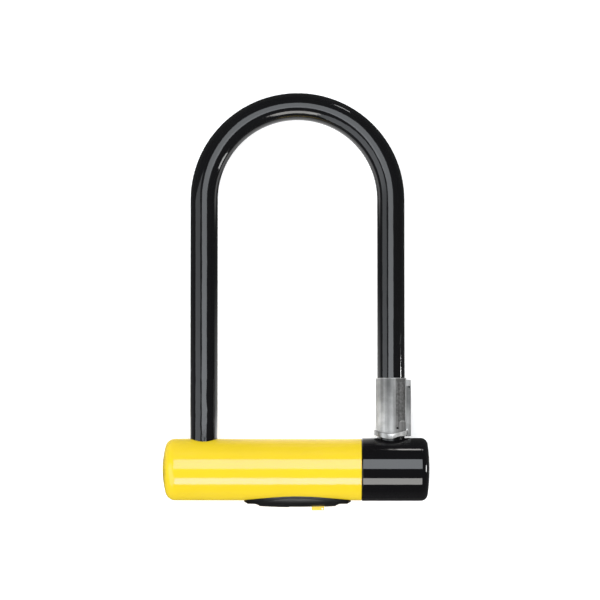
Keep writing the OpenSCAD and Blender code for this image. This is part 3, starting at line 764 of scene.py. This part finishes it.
def softbox(name, centre, aim, size, radiance, colour=WHITE, only=(), never=(), up=(0, 0, 1)):
    """A rectangular light that faces the aim and falls on all pieces, on some only, or on some never"""
    width, height = size
    data = bpy.data.lights.new(name, "AREA")
    data.shape = "RECTANGLE"
    data.size = width
    data.size_y = height
    data.energy = radiance * AREA_WATTS * width * height
    data.color = colour
    lamp = bpy.data.objects.new(name, data)
    bpy.context.scene.collection.objects.link(lamp)
    back = (Vector(centre) - Vector(aim)).normalized()
    right = Vector(up).cross(back).normalized()
    lamp.matrix_world = facing(centre, right, back)
    lamp.visible_camera = False
    if only:
        fall_on(lamp, only, "INCLUDE")
    if never:
        fall_on(lamp, never, "EXCLUDE")
    return lamp


def straight_box(name, centre, axis, size, radiance, **rest):
    """A softbox that faces the lock along one axis"""
    aim = Vector(centre)
    aim[axis] = 0.0
    return softbox(name, centre, aim, size, radiance, **rest)


def graded(lamp, near_share, far_share):
    """Changes a light's radiance smoothly along Y"""
    lamp.data.use_nodes = True
    tree = lamp.data.node_tree
    _, along = split(tree, tree.nodes.new("ShaderNodeNewGeometry").outputs["Position"])
    share = ramp(tree, along, *GRADED_SPAN, near_share, far_share)
    link(tree, share, first_of(tree, "EMISSION").inputs["Strength"])


def chosen(tree, switch, plain, other):
    """The plain shader, or the other one where the switch is one"""
    made = tree.nodes.new("ShaderNodeMixShader")
    for source, target in zip((switch, plain, other), made.inputs):
        link(tree, source, target)
    return made.outputs[0]


def backdrop(tree, strength):
    """White light from all round"""
    return node(tree, "ShaderNodeBackground", in_Color=(1, 1, 1, 1), in_Strength=strength).outputs[0]


class LOCK_OT_stage(Operator):
    """Pale surface under the lock, softboxes, and the camera over it"""
    bl_idname = "lock.stage"
    bl_label = "Studio"

    def execute(self, context):
        _, _, stage = settings()
        scene = context.scene
        self.add_floor(scene)
        self.add_lights(stage)
        self.add_world(scene, stage)
        self.add_camera(scene, stage)
        scene.view_settings.view_transform = "Standard"
        scene.view_settings.look = "None"
        return {"FINISHED"}

    def add_floor(self, scene):
        """The surface that the lock lies on"""
        bm = bmesh.new()
        bmesh.ops.create_grid(bm, x_segments=4, y_segments=4, size=FLOOR_HALF)
        lean = Matrix.Rotation(LEAN, 3, "X")
        under = Vector((0, BAR_AXIS.y, BAR_AXIS.z)) - lean @ Vector((0, 0, CAP_R))
        bmesh.ops.rotate(bm, cent=(0, 0, 0), matrix=lean, verts=bm.verts)
        bmesh.ops.translate(bm, vec=under, verts=bm.verts)
        mesh = bpy.data.meshes.new("floor")
        bm.to_mesh(mesh)
        bm.free()
        mesh.materials.append(self.pale_paper())
        floor = bpy.data.objects.new("floor", mesh)
        scene.collection.objects.link(floor)

    def pale_paper(self):
        """White paper, brighter for the camera and for what it lights, and patchy where gloss mirrors it"""
        material, tree, shader, place = start_material("pale paper")
        shader.inputs["Base Color"].default_value = PAPER_WHITE
        shader.inputs["Roughness"].default_value = PAPER_ROUGHNESS
        shader.inputs["Specular IOR Level"].default_value = PAPER_SHINE
        shader.inputs["Emission Color"].default_value = (1, 1, 1, 1)
        ray = tree.nodes.new("ShaderNodeLightPath").outputs
        seen = times(tree, ray["Is Camera Ray"], PAPER_SEEN)
        sent_back = times(tree, ray["Is Diffuse Ray"], PAPER_SENT)
        link(tree, plus(tree, seen, sent_back), shader.inputs["Emission Strength"])
        mirrored = tree.nodes.new("ShaderNodeEmission")
        patches = plus(tree, self.arch_patch(tree, place), self.bar_glow(tree, place))
        link(tree, patches, mirrored.inputs["Strength"])
        surface = chosen(tree, ray["Is Glossy Ray"], shader.outputs[0], mirrored.outputs[0])
        link(tree, surface, first_of(tree, "OUTPUT_MATERIAL").inputs["Surface"])
        return material

    def arch_patch(self, tree, place):
        """The paper's bright round patch inside the arch"""
        centre = (4.0 * MM, ARCH_Y - 32.0 * MM, 0.0)
        away = node(tree, "ShaderNodeVectorMath", operation="DISTANCE", in_1=centre)
        link(tree, place, away.inputs[0])
        return ramp(tree, away.outputs["Value"], 22.0 * MM, 50.0 * MM, 1.3, 0.08)

    def bar_glow(self, tree, place):
        """The paper's glow beside the crossbar, and further in between the legs"""
        across, along = split(tree, place)
        close = ramp(tree, along, behind_bar(3.0), behind_bar(22.0), 1.2, 0.0)
        beside = times(tree, close, rising(tree, across, -100.0 * MM, -70.0 * MM))
        wide = ramp(tree, along, behind_bar(10.0), behind_bar(110.0), 1.05, 0.0)
        between = times(tree, wide, ramp(tree, across, -70.0 * MM, -15.0 * MM, 0.12, 1.0))
        glow = plus(tree, beside, between)
        glow = times(tree, glow, rising(tree, along, behind_bar(-20.0), behind_bar(0.0)))
        return times(tree, glow, falling(tree, across, 30.0 * MM, 65.0 * MM))

    def add_lights(self, stage):
        """Softboxes over, beside and in front of the lock, and low cards at the right and beyond the arch"""
        over = {"centre": (0.017, 0.2805, 1.03), "axis": AXIS_Z, "size": (0.76, 0.722),
                "radiance": stage.top_box, "colour": stage.cool, "up": (0, 1, 0)}
        beside = {"centre": (-0.767, -0.492, 0.72), "aim": (0.033, -0.122, 0.02), "size": (1.74, 0.95),
                  "radiance": stage.left_card, "colour": stage.cool}
        straight_box("top box", never=COAT, **over)
        softbox("left card", never=COAT + COVER, **beside)
        # For the coat, the same two fall off towards the arch
        graded(straight_box("coat box", only=COAT, **over), near_share=1.08, far_share=0.79)
        graded(softbox("coat card", only=COAT, **beside), near_share=1.16, far_share=0.745)
        softbox("front box", (0.04, -0.985, 0.895), (0.04, BAR_AXIS.y, BAR_AXIS.z), (0.62, 0.54),
                stage.front_box, colour=stage.warm, never=COVER)
        softbox("cover card", (0.0, -1.3, 0.51), (0.0, BAR_AXIS.y, BAR_AXIS.z), (1.8, 0.18),
                stage.cover_card, only=COVER)
        # Low cards at the right, for glints on the arch, the cap's end and the leg over the collar
        straight_box("arch card", (CARD_X, -0.325, 0.17), AXIS_X, (0.23, 0.34), stage.right_card, only=COAT)
        straight_box("end card", (CARD_X, -0.08, 0.1), AXIS_X, (0.2, 0.2),
                     END_CARD_SHARE * stage.right_card, only=CAP)
        strip = straight_box("right strip", (CARD_X, -0.034, 0.02), AXIS_X, (0.04, 0.04),
                             RIGHT_STRIP_SHARE * stage.right_card, only=COAT)
        strip.data.spread = RIGHT_STRIP_SPREAD
        # Low cards beyond the arch, for glints on the arch and along the cap
        straight_box("back card", (0.49, BACK_Y, 0.28), AXIS_Y, (0.2, 0.12), stage.back_strip)
        straight_box("back strip", (0.106, BACK_Y, 0.306), AXIS_Y, (0.028, 0.13), stage.back_strip,
                     colour=stage.warm, only=CAP)
        hidden = softbox("back fill", (0.0, 1.2, 0.72), (0.0, -0.05, 0.02), (1.2, 0.5), stage.back_fill)
        hidden.visible_glossy = False

    def add_world(self, scene, stage):
        """Even light that gloss mirrors darker, and that the camera sees as white"""
        world = scene.world or bpy.data.worlds.new("studio")
        scene.world = world
        world.use_nodes = True
        tree = world.node_tree
        tree.nodes.clear()
        ray = tree.nodes.new("ShaderNodeLightPath").outputs
        plain = backdrop(tree, stage.fill)
        mirrored = chosen(tree, ray["Is Glossy Ray"], plain, backdrop(tree, MIRRORED_WORLD))
        seen = chosen(tree, ray["Is Camera Ray"], mirrored, backdrop(tree, SEEN_WORLD))
        link(tree, seen, tree.nodes.new("ShaderNodeOutputWorld").inputs["Surface"])

    def add_camera(self, scene, stage):
        """A camera square to the surface that the lock lies on"""
        data = bpy.data.cameras.new("camera")
        data.sensor_fit = "HORIZONTAL"
        data.sensor_width = SENSOR_WIDTH
        data.lens = SENSOR_WIDTH * stage.distance / stage.field
        camera = bpy.data.objects.new("camera", data)
        scene.collection.objects.link(camera)
        back = Vector((0, -math.sin(LEAN), math.cos(LEAN)))
        camera.matrix_world = facing(PICTURE_CENTRE + back * stage.distance, Vector((1, 0, 0)), back)
        scene.camera = camera


class LOCK_PT_dresser(Panel):
    """Lists the lock's pieces and settings"""
    bl_idname = "LOCK_PT_dresser"
    bl_label = "U-lock"
    bl_space_type = "VIEW_3D"
    bl_region_type = "UI"
    bl_category = "U-lock"

    def draw(self, context):
        layout = self.layout
        for operator in OPERATORS:
            layout.operator(operator.bl_idname)
        for group in settings():
            for name in group.__annotations__:
                layout.prop(group, name)


OPERATORS = (LOCK_OT_shackle, LOCK_OT_crossbar, LOCK_OT_keyway, LOCK_OT_collar, LOCK_OT_works, LOCK_OT_stage)
SETTING_GROUPS = {"lock_finish": LockFinish, "lock_sizes": LockSizes, "lock_stage": LockStage}


def register():
    for name, group in SETTING_GROUPS.items():
        bpy.utils.register_class(group)
        setattr(bpy.types.Scene, name, PointerProperty(type=group))
    for made in OPERATORS + (LOCK_PT_dresser,):
        bpy.utils.register_class(made)


def unregister():
    for made in reversed(OPERATORS + (LOCK_PT_dresser,)):
        bpy.utils.unregister_class(made)
    for name, group in SETTING_GROUPS.items():
        delattr(bpy.types.Scene, name)
        bpy.utils.unregister_class(group)


def main():
    register()
    bpy.ops.lock.shackle()
    bpy.ops.lock.crossbar()
    bpy.ops.lock.keyway()
    bpy.ops.lock.collar()
    bpy.ops.lock.works()
    bpy.ops.lock.stage()


if __name__ == "__main__":
    main()
